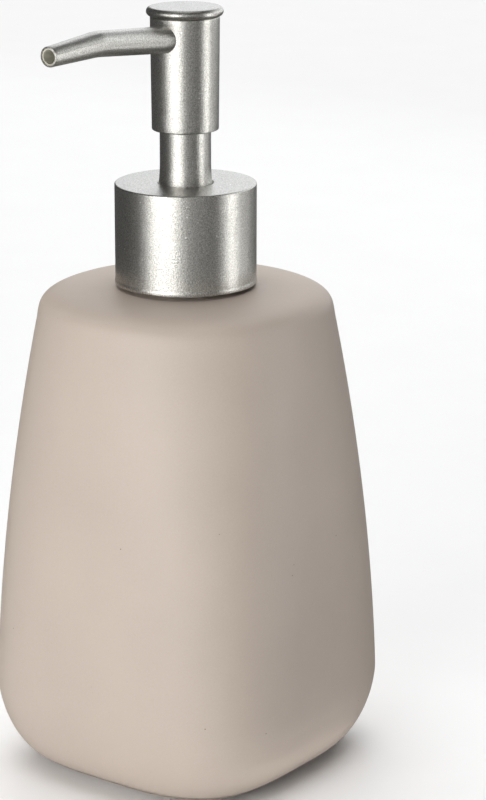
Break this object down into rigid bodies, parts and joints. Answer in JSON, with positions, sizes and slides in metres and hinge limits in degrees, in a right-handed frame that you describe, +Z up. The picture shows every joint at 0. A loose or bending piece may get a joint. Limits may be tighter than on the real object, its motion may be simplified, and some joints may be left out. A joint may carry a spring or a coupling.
{
  "type": "pump dispenser bottle",
  "caption": "Ceramic soap and lotion dispenser: rounded-square tapered bottle with a screw-on metallised pump, swivelling press head and bent spout.",
  "frame": {"origin": "centre of the foot ring's flat, on the pump's axis", "axes": "+Z up along the pump's axis, -Y the way the spout points at rest, +X to the right of it"},
  "size_m": [0.0774, 0.0856, 0.176],
  "materials": {
    "ceramic": "matt satin glaze, greige",
    "satin_nickel": "metallised plastic, satin nickel, fine grain",
    "moulded_plastic": "plain moulded polypropylene",
    "natural_plastic": "natural milky polypropylene",
    "gasket": "soft foamed sealing ring",
    "steel": "stainless steel",
    "liner": "plain tube"
  },
  "bodies": {
    "bottle": {"ceramic_bottle": "ceramic", "neck_thread_ring": "moulded_plastic"},
    "gasket": {"neck_gasket": "gasket"},
    "pump_body": {"pump_housing": "natural_plastic", "chaplet": "moulded_plastic", "chimney_sleeve": "satin_nickel", "ball_cage": "moulded_plastic", "dip_tube": "natural_plastic", "return_spring": "steel"},
    "collar": {"threaded_closure": "moulded_plastic", "collar_shell": "satin_nickel"},
    "piston": {"piston_seal": "natural_plastic"},
    "head": {"seal_retainer": "moulded_plastic", "piston_stem": "natural_plastic", "actuator_core": "moulded_plastic", "head_barrel": "satin_nickel", "top_cap": "satin_nickel", "spout": "satin_nickel", "spout_liner": "liner"},
    "inlet_valve": {"inlet_ball": "steel"},
    "outlet_valve": {"outlet_ball": "steel"}
  },
  "joints": [
    {"name": "pump_lift", "type": "slide", "parent": "bottle", "child": "gasket", "axis": [0, 0, 1], "range_m": [0, 0.125]},
    {"name": "thread_rise", "type": "slide", "parent": "gasket", "child": "pump_body", "axis": [0, 0, 1], "range_m": [0, 0.0064]},
    {"name": "collar_turn", "type": "hinge", "parent": "pump_body", "child": "collar", "pos_m": [0, 0, 0.125], "axis": [0, 0, 1], "range_deg": [0, 540]},
    {"name": "head_press", "type": "slide", "parent": "pump_body", "child": "piston", "axis": [0, 0, -1], "range_m": [0, 0.011], "stiffness_N_per_m": 600, "springref_m": -0.007, "deforming": ["return_spring"]},
    {"name": "spout_swivel", "type": "hinge", "parent": "piston", "child": "head", "pos_m": [0, 0, 0.15], "axis": [0, 0, 1], "continuous": true},
    {"name": "inlet_ball_lift", "type": "slide", "parent": "pump_body", "child": "inlet_valve", "axis": [0, 0, 1], "range_m": [0, 0.0018]},
    {"name": "outlet_ball_lift", "type": "slide", "parent": "head", "child": "outlet_valve", "axis": [0, 0, 1], "range_m": [0, 0.001]}
  ],
  "couplings": [
    {"joint": "thread_rise", "follows": "collar_turn", "m_per_rad": 0.00067322}
  ]
}
